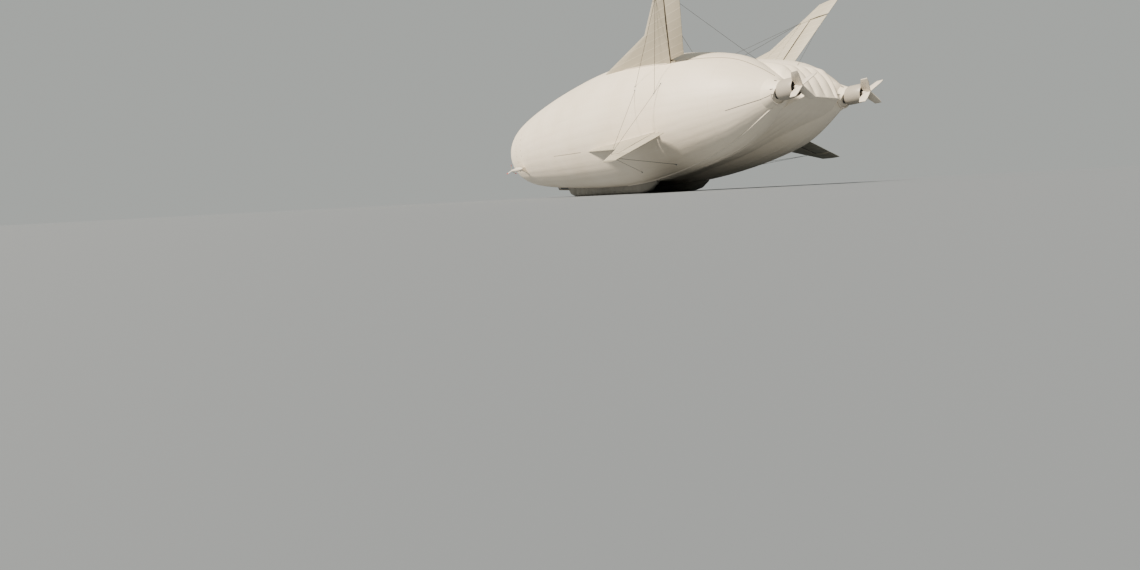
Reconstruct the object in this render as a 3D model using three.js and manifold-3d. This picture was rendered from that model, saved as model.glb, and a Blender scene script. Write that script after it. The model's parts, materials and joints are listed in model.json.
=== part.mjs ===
// Hybrid airship with a hull of two lobes, as a 1:10 model that stands on its landing skids.
// It is drawn in full-size metres: x to port, y aft from the nose, z up from the height of the lobes' ends.
// The group at the end brings it to model millimetres and stands it on z = 0.
import * as THREE from "three";
import { mergeVertices } from "three/addons/utils/BufferGeometryUtils.js";
import Module from "manifold-3d";

const wasm = await Module();
wasm.setup();

// Driving dimensions
const metre = 97.5; // model millimetres to a drawn metre, 1:10 with the drawn 94.2 m brought to 92 m
const floorZ = -12.3; // where the skids stand
const seat = 0.004; // gap between pieces that rest on each other
const running = 0.09; // gap round a moving piece
const hull = {
  length: 90,
  radius: 11.5,
  axisX: 6.2,
  axisZ: -0.2,
  rise: 0.65, // how far the axis bows up amidships
  noseIn: 0.14, // share by which the axes draw together at the nose
  tailIn: 0.03,
  facets: 44,
  // [share of the length, share of the radius]
  profile: [
    [0, 0], [0.002, 0.125], [0.01, 0.28], [0.03, 0.46], [0.07, 0.655], [0.13, 0.77], [0.22, 0.85],
    [0.33, 0.91], [0.45, 0.955], [0.57, 0.972], [0.68, 0.935], [0.78, 0.835], [0.87, 0.68], [0.94, 0.485],
    [1, 0.14],
  ],
};
// Between the two tails the fabric is drawn into flutes that run fore and aft.
const centre = {
  flutes: 5,
  fluteWidth: 2.03,
  fluteSteps: 6,
  plain: 3, // flutes in the middle of full width; the outer ones narrow with the section and fall to its edge
  // [y, half width, top z between the flutes, z at the edge, bottom z, height of the flutes]
  stations: [
    [61, 5.075, -6, -6, -10, 0.3], [70, 5.075, 5.2, 5.2, -8.4, 0.5], [78, 5.075, 5, 5, -6.6, 0.6],
    [84, 5.075, 4.6, 4.6, -4.5, 0.65], [88, 5.075, 3.4, 2.9, -2.8, 0.6], [89.4, 4.9, 2.3, 1, -2, 0.6],
    [90.4, 4.35, 1, -0.4, -1.45, 0.7], [91, 3.95, -0.1, -0.8, -1.12, 0.6], [91.35, 3.75, -0.62, -0.86, -0.95, 0.3],
    [91.5, 3.7, -0.72, -0.86, -0.9, 0.02],
  ],
};
// Fins stand in planes through a point beside the lobe's axis. Outlines are in y and in the reach from there.
const fins = {
  upper: {
    turn: 27.5, // degrees from upright, outwards
    foot: [7.51, -0.53],
    strake: [56.7, 11], kink: [71.2, 13.8], tipFront: [78.6, 19.9], tipRear: [82, 19.9],
    hingeRoot: [75.1, 9], hingeTop: [78.1, 17.2], rearRoot: [77.25, 8.4],
    innerReach: 7.6,
  },
  lower: {
    turn: 112,
    foot: [6.03, 0.03],
    strake: [56, 11], kink: [69.8, 13.9], tipFront: [75, 20], tipRear: [78.5, 20],
    hingeRoot: [74.35, 9.5], hingeTop: [75.7, 17.4], rearRoot: [76.7, 8.9],
    innerReach: 7.6,
  },
};
const finShape = {
  rootThick: 0.62,
  tipThick: 0.28,
  edgeThick: 0.06,
  bluntShare: 0.85, // how full the plate is at the hinge
  topGap: 0.2, // between the flap and the part of the fin that reaches over it
  // the pin that the flap turns on, its lengths past the flap's ends, and the lug at the root that holds it
  pin: 0.07, pinBelow: 0.45, pinAbove: 0.45,
  lugHalf: 0.125, lugLength: 1.5, lugPast: 0.3, lugBelow: [0.75, 0.25],
};
const stay = {
  radius: 0.03,
  sides: 6,
  lug: 0.12,
  sink: 0.1, // how far a stay runs in under the hull's facets before it is cut
  chordShare: 0.32,
  // [name, fin, share of the front edge, side of the plate, feet on the hull as [y, angle up from outboard]]
  pairs: [
    ["stays_upper_outer", "upper", 0.56, 1, [[69.6, 25], [74.2, 14]]],
    ["stays_upper_inner", "upper", 0.56, -1, [[67, 97], [72, 100]]],
    ["stays_lower_upper", "lower", 0.57, -1, [[69.8, 24], [75, 28]]],
    ["stays_lower_under", "lower", 0.57, 1, [[65.9, -62], [73.6, -67]]],
  ],
};
const pod = {
  x: 16.15, y: 19.6, z: -4.65, // where the nacelle turns on its pylon
  // [y from the pylon, radius]
  cowl: [
    [-5.3, 0], [-5.3, 0.2], [-4.6, 0.27], [-3.4, 0.34], [-2, 0.48], [-0.6, 0.52], [0.7, 0.48], [1.8, 0.28],
    [2.3, 0],
  ],
  trunnion: 0.26, // radius of the stub it turns on
  pylonThick: 0.9,
  // the pylon's outline in x and z, cut to the hull
  pylon: [[11, -3.9], [14.6, -4.1], [15.55, -4.35], [15.55, -4.95], [14.4, -5.35], [9.9, -8.6], [8.5, -7]],
};
const propeller = { bladeCount: 3, radius: 1.6, hubRadius: 0.2, hubLength: 0.8, chord: 0.26, thick: 0.07 };
const duct = {
  x: 6.95, z: -0.15, front: 90.75, rear: 92.9, outer: 1.28, inner: 1.04, hub: 0.3, hubLength: 0.6,
  strutCount: 4, strutThick: 0.1,
  // the collar that leads the lobe's fabric out to the duct: [y, x, z, radius]
  collar: [
    [88.2, 6.3, -0.2, 2.4], [89.2, 6.55, -0.18, 2.02], [90.1, 6.85, -0.15, 1.48], [90.746, 6.95, -0.15, 1.16],
  ],
};
const fan = { bladeCount: 6, radius: 0.97, hubRadius: 0.3, hubLength: 0.7, chord: 0.5, thick: 0.06 };
const vane = {
  angles: [38, 142, 218, 322],
  thick: 0.09,
  // outline of a vane in reach and y behind the duct
  outline: [[0, 0], [1.3, 0], [2.35, 0.5], [2.35, 1.3], [1.7, 1.25], [0.15, 0.85], [0, 0.85]],
  coneRadius: 0.34, coneFront: -0.4, coneTip: 0.55,
};
const overallLength = duct.rear + seat + vane.outline[3][1];
const gondola = {
  y: 13, z: -10.3, pitch: -2.33, length: 32, half: 1.8, height: 2.7, wall: 0.16, chamfer: 0.28, floor: 0.3,
  roofZ: 1.98, roofThick: 0.14,
  past: 0.1, // how far a cut runs past the faces it opens
  sill: 0.5, head: 1.5, mullion: 0.22, glass: 0.036,
  rebate: 0.08, // how far the glass reaches past its opening
  // window bands along the wall: [from, to, number of windows]
  bands: [[1.3, 14.9, 6], [17.1, 31.3, 6]],
  // the fairing behind it: [y from the gondola's front, half width, bottom z]
  fairing: [[32.004, 1.8, 0], [37, 1.75, 0.25], [41, 1.4, 1.35], [45.4, 0.6, 3.05]],
  fairingTop: 3.6,
  fairingFoot: 0.84, // share of the width at its bottom
};
const door = {
  y: 15.3, width: 1.4, top: 1.62, gap: 0.055,
  // the hinge along its foot, out from the wall and up from the floor, with a leaf up the door
  hingeOut: 0.04, hingeUp: 0.03, hingeRadius: 0.036, leafHeight: 0.2, leafThick: 0.03,
  // the light in it, in from its edges
  lightIn: 0.4, lightFoot: 0.95, lightHead: 1.4,
};
// The hollow block in front of the cabin leans forward at its top and narrows a little.
const cabinNose = {
  depth: 0.75, wall: 0.15, lean: 0.63, share: 0.86, headroom: 0.6, screenHalf: 1.3, post: 0.12,
};
const skid = {
  x: 6.2,
  // [y, half width, bottom z]
  stations: [
    [28, 0.3, -10.3], [30, 0.8, -11.7], [32.5, 1.05, floorZ], [59.5, 1.05, floorZ], [62, 0.8, -11.8],
    [64, 0.3, -10.6],
  ],
  topZ: -9.4,
};

// Materials
const coat = (color, roughness, metalness = 0) => new THREE.MeshStandardMaterial({ color, roughness, metalness });
const hullFabric = coat(0xe2dace, 0.55);
const finFabric = coat(0xcfc8b8, 0.6);
const composite = coat(0xdcd8ce, 0.4);
const propellerGrey = coat(0xcfcbc1, 0.45);
const fanGrey = coat(0x34332f, 0.4);
const glass = coat(0x14181b, 0.1);
const skidRubber = coat(0x8d8a82, 0.8);
const steel = coat(0x55585a, 0.4, 0.8);

// Solids

function solid(geometry) {
  const plain = geometry.index ? geometry.toNonIndexed() : geometry.clone();
  const bare = new THREE.BufferGeometry().setAttribute("position", plain.getAttribute("position"));
  const merged = mergeVertices(bare, 1e-5);
  const corners = [];
  for (let i = 0; i < merged.index.count; i += 3) {
    const [a, b, c] = [0, 1, 2].map((k) => merged.index.getX(i + k));
    if (a !== b && b !== c && c !== a) corners.push(a, b, c);
  }
  const make = (list) =>
    new wasm.Manifold(
      new wasm.Mesh({
        numProp: 3,
        vertProperties: merged.attributes.position.array,
        triVerts: new Uint32Array(list),
      }),
    );
  const made = make(corners);
  return made.volume() > 0 ? made : make(corners.reverse());
}

function geometryOf(made) {
  const { numProp, numVert, vertProperties, triVerts } = made.getMesh();
  const places = new Float32Array(numVert * 3);
  for (let i = 0; i < numVert; i++) places.set(vertProperties.subarray(i * numProp, i * numProp + 3), i * 3);
  const geometry = new THREE.BufferGeometry()
    .setAttribute("position", new THREE.BufferAttribute(places, 3))
    .setIndex(new THREE.BufferAttribute(triVerts, 1));
  geometry.computeVertexNormals();
  return geometry;
}

const joined = (geometries) => geometries.map(solid).reduce((a, b) => a.add(b));
const placed = (geometry, matrix) => geometry.clone().applyMatrix4(matrix);

// Rings of equal count joined in a row. A flat end is zipped across from the ring's first and last points.
function loft(rings) {
  const count = rings[0].length;
  const places = rings.flat().flatMap((p) => [p.x, p.y, p.z]);
  const faces = [];
  for (let r = 0; r + 1 < rings.length; r++) {
    for (let i = 0; i < count; i++) {
      const [a, b] = [r * count + i, r * count + ((i + 1) % count)];
      faces.push(a, b, a + count, b, b + count, a + count);
    }
  }
  const last = (rings.length - 1) * count;
  for (let i = 0, j = count - 1; i + 1 < j; i++, j--) {
    faces.push(i + 1, i, j, j - 1, i + 1, j);
    faces.push(last + i, last + i + 1, last + j, last + i + 1, last + j - 1, last + j);
  }
  return new THREE.BufferGeometry()
    .setAttribute("position", new THREE.Float32BufferAttribute(places, 3))
    .setIndex(faces);
}

function box(x0, x1, y0, y1, z0, z1) {
  const geometry = new THREE.BoxGeometry(x1 - x0, y1 - y0, z1 - z0);
  return geometry.translate((x0 + x1) / 2, (y0 + y1) / 2, (z0 + z1) / 2);
}

// A turned body along y from [y, radius] rows.
function turned(rows, facets) {
  return new THREE.LatheGeometry(rows.map(([y, r]) => new THREE.Vector2(r, y)), facets);
}

// A plate of the outline in x and z, from y0 to y1.
function slab(outline, y0, y1) {
  const shape = new THREE.Shape(outline.map(([x, z]) => new THREE.Vector2(x, z)));
  const geometry = new THREE.ExtrudeGeometry(shape, { depth: y1 - y0, bevelEnabled: false });
  return geometry.rotateX(Math.PI / 2).translate(0, y1, 0);
}

function rod(from, to, radius, facets) {
  const span = new THREE.Vector3().subVectors(to, from);
  const geometry = new THREE.CylinderGeometry(radius, radius, span.length(), facets);
  const turn = new THREE.Quaternion().setFromUnitVectors(new THREE.Vector3(0, 1, 0), span.normalize());
  const middle = new THREE.Vector3().addVectors(from, to).multiplyScalar(0.5);
  return geometry.applyQuaternion(turn).translate(middle.x, middle.y, middle.z);
}

// Hull

function axisAt(y) {
  const t = THREE.MathUtils.clamp(y / hull.length, 0, 1);
  const nose = hull.noseIn * Math.max(0, 1 - t / 0.4) ** 1.5;
  const tail = hull.tailIn * Math.max(0, (t - 0.4) / 0.6);
  return { x: hull.axisX * (1 - nose - tail), z: hull.axisZ + hull.rise * 4 * t * (1 - t) };
}

const hullCurve = new THREE.SplineCurve(
  hull.profile.map(([t, share]) => new THREE.Vector2(share * hull.radius, t * hull.length)),
);
const hullRows = hullCurve.getPoints(2 * (hull.profile.length - 1)).map((p) => [p.y, Math.max(0, p.x)]);

function radiusAt(y) {
  const next = hullRows.findIndex((row) => row[0] >= y);
  if (next < 1) return hullRows[next < 0 ? hullRows.length - 1 : 0][1];
  const [[y0, r0], [y1, r1]] = [hullRows[next - 1], hullRows[next]];
  return r0 + ((r1 - r0) * (y - y0)) / (y1 - y0);
}

// The port lobe: a turned body bent to its axis, grown by a gap where it cuts its neighbours.
function lobeGeometry(grow) {
  const last = hullRows.at(-1);
  const rows = hullRows.map(([y, r]) => [y, r > 0 ? r + grow : 0]);
  rows.push([last[0] + grow, last[1] + grow], [last[0] + grow, 0]);
  if (grow > 0) rows[0][0] -= grow;
  else rows.splice(-2, 1);
  const geometry = turned(rows, hull.facets);
  const places = geometry.getAttribute("position");
  for (let i = 0; i < places.count; i++) {
    const axis = axisAt(places.getY(i));
    places.setX(i, places.getX(i) + axis.x);
    places.setZ(i, places.getZ(i) + axis.z);
  }
  return geometry;
}

const mirrorX = new THREE.Matrix4().makeScale(-1, 1, 1);
const lobeCutter = lobeGeometry(seat);
const bothLobes = joined([lobeCutter, placed(lobeCutter, mirrorX)]);
const portSide = solid(box(seat / 2, 30, -5, 100, -30, 30));
const lobeSolid = solid(lobeGeometry(0)).intersect(portSide);

// A point on the port lobe's skin, at an angle up from outboard.
function onHull(y, angle, lift = 0) {
  const axis = axisAt(y);
  const reach = radiusAt(y) + lift;
  const turn = THREE.MathUtils.degToRad(angle);
  return new THREE.Vector3(axis.x + reach * Math.cos(turn), y, axis.z + reach * Math.sin(turn));
}

// Fluted on top, flat below.
function centreSection() {
  const { flutes, fluteWidth, fluteSteps, plain, stations } = centre;
  const count = flutes * fluteSteps + 1;
  const steps = Array.from({ length: count }, (_, i) => (i / fluteSteps - flutes / 2) * fluteWidth);
  const middle = (plain / 2) * fluteWidth;
  const past = (x) => Math.max(0, Math.abs(x) - middle) / fluteWidth;
  const rings = stations.map(([y, half, top, edge, bottom, height]) => {
    const across = steps.map((x) => Math.sign(x) * (Math.min(Math.abs(x), middle) + past(x) * (half - middle)));
    const crown = (x) => edge + (top - edge) * Math.sqrt(Math.max(0, 1 - past(x) ** 2));
    const lift = (x) => height * Math.abs(Math.cos((Math.PI * x) / fluteWidth));
    const upper = steps.map((x, i) => new THREE.Vector3(across[i], y, crown(x) + lift(x)));
    return [...upper, ...across.map((x) => new THREE.Vector3(-x, y, bottom))];
  });
  return solid(loft(rings)).subtract(bothLobes);
}

// Tail fins, each in its own frame: x through the plate, y aft, z outwards

const between = ([y0, v0], [y1, v1], v) => y0 + ((y1 - y0) * (v - v0)) / (v1 - v0);

function finFrame(fin) {
  const group = new THREE.Group();
  group.position.set(fin.foot[0], 0, fin.foot[1]);
  group.rotation.y = THREE.MathUtils.degToRad(fin.turn);
  group.updateMatrix();
  return group;
}

const thickAt = (fin, v) =>
  THREE.MathUtils.mapLinear(v, fin.kink[1], fin.tipRear[1], finShape.rootThick, finShape.tipThick);
const plateThick = (fin, v) => Math.min(finShape.rootThick, thickAt(fin, v));
const hingeAt = (fin, v) => between(fin.hingeRoot, fin.hingeTop, v);
const rearAt = (fin, v) => between(fin.rearRoot, fin.tipRear, v);

function frontAt(fin, v) {
  if (v <= fin.strake[1]) return fin.strake[0];
  return v <= fin.kink[1] ? between(fin.strake, fin.kink, v) : between(fin.kink, fin.tipFront, v);
}

// A slice of the plate at reach v, from y0 to y1, with the half thickness at each end and at its fullest.
function slice(v, y0, y1, ends, full) {
  const rows = [[0, ends[0]], [0.08, 0.55], [0.3, 1], [0.7, 1], [1, ends[1]]].map(([share, thick], i) => [
    y0 + (y1 - y0) * share,
    i === 0 || i === 4 ? thick : thick * full,
  ]);
  const side = (sign) => rows.map(([y, half]) => new THREE.Vector3(sign * half, y, v));
  return [...side(1), ...side(-1).reverse()];
}

// The plate ahead of the hinge, the cap that reaches back over the flap, and the lug at the hinge's root.
function finSolid(fin, frame) {
  const { bluntShare, topGap, lugHalf, lugLength, lugPast, lugBelow, pin, pinBelow, pinAbove } = finShape;
  const edge = finShape.edgeThick / 2;
  const plate = (reaches, backAt, endAt) =>
    solid(loft(reaches.map((v) => (
      slice(v, frontAt(fin, v), backAt(v), [edge, endAt(v)], plateThick(fin, v) / 2)
    ))));
  const beforeHinge = (v) => hingeAt(fin, v) - plateThick(fin, v) / 2 - running;
  const blunt = (v) => (plateThick(fin, v) / 2) * bluntShare;
  const [topV, tipV] = [fin.hingeTop[1], fin.tipRear[1]];
  const main = plate([fin.innerReach, fin.strake[1], fin.kink[1], topV, tipV], beforeHinge, blunt);
  const cap = plate([topV + topGap, tipV], (v) => rearAt(fin, v), () => edge);
  const [hingeY, hingeV] = fin.hingeRoot;
  const lugEnd = hingeY + lugPast;
  const lug = box(-lugHalf, lugHalf, lugEnd - lugLength, lugEnd, ...lugBelow.map((v) => hingeV - v));
  const toFin = new THREE.Matrix4().copy(frame.matrix).invert();
  const cutter = solid(placed(lobeCutter, toFin));
  const socket = solid(hingeRod(fin, pinBelow + 2 * seat, pinAbove + 2 * seat, pin + seat));
  return main.add(cap).add(solid(lug)).subtract(cutter).subtract(socket);
}

// A rod along the hinge line, past its ends by the two lengths.
function hingeRod(fin, below, above, radius) {
  const root = new THREE.Vector3(0, fin.hingeRoot[0], fin.hingeRoot[1]);
  const top = new THREE.Vector3(0, fin.hingeTop[0], fin.hingeTop[1]);
  const along = new THREE.Vector3().subVectors(top, root).normalize();
  return rod(root.addScaledVector(along, -below), top.addScaledVector(along, above), radius, 12);
}

function flapSolid(fin) {
  const rings = [fin.hingeRoot[1], fin.hingeTop[1]].map((v) => {
    const half = plateThick(fin, v) / 2;
    const y = hingeAt(fin, v);
    const nose = [90, 120, 150, 180, 210, 240, 270].map((angle) => {
      const turn = THREE.MathUtils.degToRad(angle);
      return new THREE.Vector3(half * Math.sin(turn), y + half * Math.cos(turn), v);
    });
    const rear = rearAt(fin, v);
    const edge = finShape.edgeThick / 2;
    return [...nose, new THREE.Vector3(-edge, rear, v), new THREE.Vector3(edge, rear, v)];
  });
  return solid(loft(rings)).add(solid(hingeRod(fin, finShape.pinBelow, finShape.pinAbove, finShape.pin)));
}

// Two stays from a lug on the plate's flat to their feet on the hull.
function stayPair(fin, frame, share, side, feet) {
  const v = fin.kink[1] + (fin.tipFront[1] - fin.kink[1]) * share;
  const y = THREE.MathUtils.lerp(frontAt(fin, v), hingeAt(fin, v), stay.chordShare);
  const face = plateThick(fin, v) / 2;
  const at = (reach) => new THREE.Vector3(side * reach, y, v).applyMatrix4(frame.matrix);
  const top = at(face + stay.lug);
  const lug = rod(at(face + seat), at(face + stay.lug + stay.radius), stay.radius * 1.5, stay.sides);
  const ends = feet.map(([footY, angle]) => onHull(footY, angle, -stay.sink));
  const rods = ends.map((end) => rod(top, end, stay.radius, stay.sides));
  return joined([lug, ...rods]).subtract(bothLobes);
}

// Propulsors

// A blade along z with its root at the axis of y, twisted from root to tip.
function blade(radius, rootReach, chord, thick, rootAngle, tipAngle) {
  const rings = [0, 0.35, 0.7, 1].map((share) => {
    const reach = rootReach + (radius - rootReach) * share;
    const half = (chord / 2) * (share === 1 ? 0.6 : 1);
    const depth = (thick / 2) * (1 - 0.5 * share);
    const turn = THREE.MathUtils.degToRad(THREE.MathUtils.lerp(rootAngle, tipAngle, share));
    return [[half, 0], [0, depth], [-half, 0], [0, -depth]].map(([across, out]) => new THREE.Vector3(
      across * Math.cos(turn) - out * Math.sin(turn),
      across * Math.sin(turn) + out * Math.cos(turn),
      reach,
    ));
  });
  return loft(rings);
}

function bladed(count, hubGeometry, bladeGeometry) {
  const blades = Array.from({ length: count }, (_, i) =>
    bladeGeometry.clone().rotateY((2 * Math.PI * i) / count),
  );
  return joined([hubGeometry, ...blades]);
}

function propellerSolid() {
  const { hubRadius: r, hubLength: l } = propeller;
  const spinner = turned([[-l, 0], [-l * 0.75, r * 0.6], [-l * 0.3, r], [0, r], [0, 0]], 16);
  const one = blade(propeller.radius, r * 0.5, propeller.chord, propeller.thick, 50, 18);
  return bladed(propeller.bladeCount, spinner, one.translate(0, -l * 0.4, 0));
}

function fanSolid() {
  const { hubRadius: r, hubLength: l } = fan;
  const hub = turned([[0, 0], [0, r], [l * 0.8, r], [l, r * 0.8], [l, 0]], 16);
  const one = blade(fan.radius, r * 0.6, fan.chord, fan.thick, 45, 25);
  return bladed(fan.bladeCount, hub, one.translate(0, l * 0.5, 0));
}

function pylonSolid() {
  const y0 = pod.y - pod.pylonThick / 2;
  const plate = solid(slab(pod.pylon, y0, y0 + pod.pylonThick));
  return plate.subtract(solid(lobeCutter));
}

function nacelleSolid() {
  const cowl = turned(pod.cowl, 20);
  const inner = pod.pylon[2][0] - pod.x + seat;
  const trunnion = rod(new THREE.Vector3(inner, 0, 0), new THREE.Vector3(0, 0, 0), pod.trunnion, 16);
  return joined([cowl, trunnion]);
}

function ductSolid() {
  const { front, rear, outer, inner, hub, hubLength, strutCount, strutThick } = duct;
  const length = rear - front;
  const middle = (outer + inner) / 2;
  const ring = turned([
    [0, inner + 0.06], [0.06, outer - 0.05], [0.35, outer], [length * 0.75, outer - 0.03],
    [length, outer - 0.14], [length, inner + 0.04], [0.5, inner], [0, inner + 0.06],
  ], 28);
  const hubRows = [[0, 0], [0, hub * 0.8], [hubLength / 4, hub], [hubLength, hub], [hubLength, 0]];
  const struts = Array.from({ length: strutCount }, (_, i) => {
    const strut = box(-strutThick / 2, strutThick / 2, hubLength * 0.2, hubLength * 0.8, hub / 2, middle);
    return strut.rotateY((2 * Math.PI * (i + 0.5)) / strutCount);
  });
  return joined([ring, turned(hubRows, 16), ...struts]);
}

function collarSolid() {
  const turns = Array.from({ length: hull.facets }, (_, i) => (2 * Math.PI * i) / hull.facets);
  const rings = duct.collar.map(([y, x, z, radius]) =>
    turns.map((turn) => new THREE.Vector3(x + radius * Math.cos(turn), y, z + radius * Math.sin(turn))),
  );
  return solid(loft(rings)).subtract(solid(lobeCutter));
}

function vaneSolid() {
  const plates = vane.angles.map((angle) => {
    const shape = new THREE.Shape(vane.outline.map(([reach, y]) => new THREE.Vector2(reach, y)));
    const plate = new THREE.ExtrudeGeometry(shape, { depth: vane.thick, bevelEnabled: false });
    return plate.translate(0, 0, -vane.thick / 2).rotateY(THREE.MathUtils.degToRad(-angle));
  });
  const cone = turned([[vane.coneFront, 0], [vane.coneFront, vane.coneRadius * 0.8], [-0.05, vane.coneRadius],
    [vane.coneTip * 0.6, vane.coneRadius * 0.55], [vane.coneTip, 0]], 16);
  return joined([cone, ...plates]);
}

// Gondola, in its own frame: y aft from its front, z up from its underside

const cabin = new THREE.Group();
cabin.position.set(0, gondola.y, gondola.z);
cabin.rotation.x = THREE.MathUtils.degToRad(gondola.pitch);
cabin.updateMatrix();
const toCabin = new THREE.Matrix4().copy(cabin.matrix).invert();
const hullOverCabin = joined([toCabin, toCabin.clone().multiply(mirrorX)].map((m) => placed(lobeCutter, m)));

// An outline in x and z from its points on the port side.
const bothHalves = (rows) => [...rows, ...rows.map(([x, z]) => [-x, z]).reverse()];

function cabinFloor() {
  const { half, chamfer, floor, length } = gondola;
  return solid(slab(bothHalves([[half - chamfer, 0], [half, chamfer], [half, floor]]), 0, length));
}

// A cut through the side wall.
function wallCut(y0, y1, z0, z1) {
  const { half, wall, past } = gondola;
  return solid(box(half - wall - past, half + past, y0, y1, z0, z1));
}

function windowCuts() {
  const { sill, head, mullion, bands } = gondola;
  return bands.flatMap(([from, to, count]) => {
    const pitch = (to - from) / count;
    return Array.from({ length: count }, (_, i) =>
      wallCut(from + pitch * i + mullion / 2, from + pitch * (i + 1) - mullion / 2, sill, head),
    );
  });
}

function cabinWall() {
  const { half, wall, floor, height, length, past } = gondola;
  const plate = solid(box(half - wall, half, wall + seat, length - wall - seat, floor + seat, height));
  const doorway = wallCut(door.y, door.y + door.width, floor - past, door.top);
  return [doorway, ...windowCuts()].reduce((a, b) => a.subtract(b), plate).subtract(hullOverCabin);
}

// The door folds down and out on a hinge along its foot.
function cabinDoor() {
  const { half, wall, floor } = gondola;
  const { y, width, gap, hingeOut, hingeUp, leafHeight, leafThick, lightIn } = door;
  const [front, rear] = [y + gap, y + width - gap];
  const [foot, hingeX, hingeZ] = [floor + gap, half + hingeOut, floor + hingeUp];
  const panel = solid(box(half - wall, half, front, rear, foot, door.top - gap));
  const light = wallCut(y + lightIn, y + width - lightIn, door.lightFoot, door.lightHead);
  const leafOnPanel = box(half - leafThick, half + leafThick, front, rear, foot, foot + leafHeight);
  const leafBelow = box(half + seat, half + leafThick, front, rear, hingeZ, foot);
  const ends = [y, y + width].map((end) => new THREE.Vector3(hingeX, end, hingeZ));
  return joined([leafOnPanel, leafBelow, rod(...ends, door.hingeRadius, 12)]).add(panel.subtract(light));
}

function cabinGlass([from, to]) {
  const { half, wall, sill, head, glass: thick, rebate } = gondola;
  const out = half - wall - seat;
  return solid(box(out - thick, out, from, to, sill - rebate, head + rebate)).subtract(hullOverCabin);
}

// An outline in x and z put at y, leaning forward with its height, or upright at the cabin's end.
function noseRing(outline, y, leans) {
  const lean = (z) => (leans ? (-cabinNose.lean * z) / gondola.height : 0);
  return outline.map(([x, z]) => new THREE.Vector3(x * (leans ? cabinNose.share : 1), y + lean(z), z));
}

function cabinFront() {
  const { half, wall, height, chamfer, sill, head, floor, past } = gondola;
  const { depth, wall: thick, headroom, screenHalf, post } = cabinNose;
  const inset = half - wall - seat;
  const side = [[half - chamfer, 0], [half, chamfer], [half, height]];
  const room = [[inset, floor], [inset, height - headroom]];
  const block = loft([noseRing(bothHalves(side), -depth, true), noseRing(bothHalves(side), -seat, false)]);
  const hollow = loft([noseRing(bothHalves(room), thick - depth, true), noseRing(bothHalves(room), past, false)]);
  const screens = [[-screenHalf, -post / 2], [post / 2, screenHalf]].map(([x0, x1]) =>
    box(x0, x1, -depth - cabinNose.lean - past, -2 * thick, sill, head),
  );
  return [hollow, ...screens].map(solid).reduce((a, b) => a.subtract(b), solid(block)).subtract(hullOverCabin);
}

function cabinScreen() {
  const { sill, head, glass: thick, rebate } = gondola;
  const half = (cabinNose.screenHalf + rebate) / cabinNose.share;
  const outline = bothHalves([[half, sill - rebate], [half, head + rebate]]);
  const rear = cabinNose.wall - cabinNose.depth + seat;
  return solid(loft([rear, rear + thick].map((y) => noseRing(outline, y, true))));
}

function cabinRear() {
  const { half, wall, floor, length, height } = gondola;
  return solid(box(-half, half, length - wall, length, floor + seat, height)).subtract(hullOverCabin);
}

function cabinRoof() {
  const { half, wall, length, roofZ, roofThick } = gondola;
  const [inset, rear] = [half - wall - seat, length - wall - seat];
  return solid(box(-inset, inset, seat, rear, roofZ, roofZ + roofThick)).subtract(hullOverCabin);
}

function cabinFairing() {
  const { fairing, fairingTop, fairingFoot, chamfer } = gondola;
  const rings = fairing.map(([y, half, bottom]) => {
    const outline = bothHalves([[half * fairingFoot, bottom], [half, bottom + chamfer], [half, fairingTop]]);
    return outline.map(([x, z]) => new THREE.Vector3(x, y, z));
  });
  return solid(loft(rings)).subtract(hullOverCabin);
}

function skidSolid() {
  const rings = skid.stations.map(([y, half, bottom]) => {
    const round = [[1 / 2, 0], [0.8, 1 / 4], [1, 3 / 4]].map(([x, z]) => [half * x, bottom + half * z]);
    const outline = bothHalves([...round, [half, skid.topZ]]);
    return outline.map(([x, z]) => new THREE.Vector3(skid.x + x, y, z));
  });
  return solid(loft(rings)).subtract(solid(lobeCutter));
}

// Assembly

const airship = new THREE.Group();

function piece(parent, name, made, material) {
  const mesh = new THREE.Mesh(geometryOf(made), material);
  mesh.name = name;
  parent.add(mesh);
  return mesh;
}

function side(name) {
  const group = new THREE.Group();
  const add = (part, made, material, parent = group) => piece(parent, `${part}_${name}`, made, material);
  add("envelope_lobe", lobeSolid, hullFabric);
  for (const [level, fin] of Object.entries(fins)) {
    const frame = finFrame(fin);
    group.add(frame);
    add(`fin_${level}`, finSolid(fin, frame), finFabric, frame);
    add(`flap_${level}`, flapSolid(fin), finFabric, frame);
  }
  for (const [part, level, share, plate, feet] of stay.pairs) {
    add(part, stayPair(fins[level], finFrame(fins[level]), share, plate, feet), steel);
  }
  add("pylon", pylonSolid(), composite);
  const podGroup = new THREE.Group();
  podGroup.position.set(pod.x, pod.y, pod.z);
  group.add(podGroup);
  add("nacelle", nacelleSolid(), composite, podGroup);
  const propellerMesh = add("propeller", propellerSolid(), propellerGrey, podGroup);
  propellerMesh.position.y = pod.cowl[0][0] - seat;
  const ductGroup = new THREE.Group();
  ductGroup.position.set(duct.x, duct.front, duct.z);
  group.add(ductGroup);
  add("duct", ductSolid(), composite, ductGroup);
  add("fan", fanSolid(), fanGrey, ductGroup).position.y = duct.hubLength + seat;
  add("vanes", vaneSolid(), composite, ductGroup).position.y = duct.rear - duct.front + seat;
  add("duct_mount", collarSolid(), hullFabric);
  add("skid", skidSolid(), skidRubber);
  const cabinSide = new THREE.Group();
  cabinSide.position.copy(cabin.position);
  cabinSide.rotation.copy(cabin.rotation);
  group.add(cabinSide);
  add("gondola_wall", cabinWall(), composite, cabinSide);
  add("gondola_door", cabinDoor(), composite, cabinSide);
  add("glass_forward", cabinGlass(gondola.bands[0]), glass, cabinSide);
  add("glass_aft", cabinGlass(gondola.bands[1]), glass, cabinSide);
  return group;
}

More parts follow.
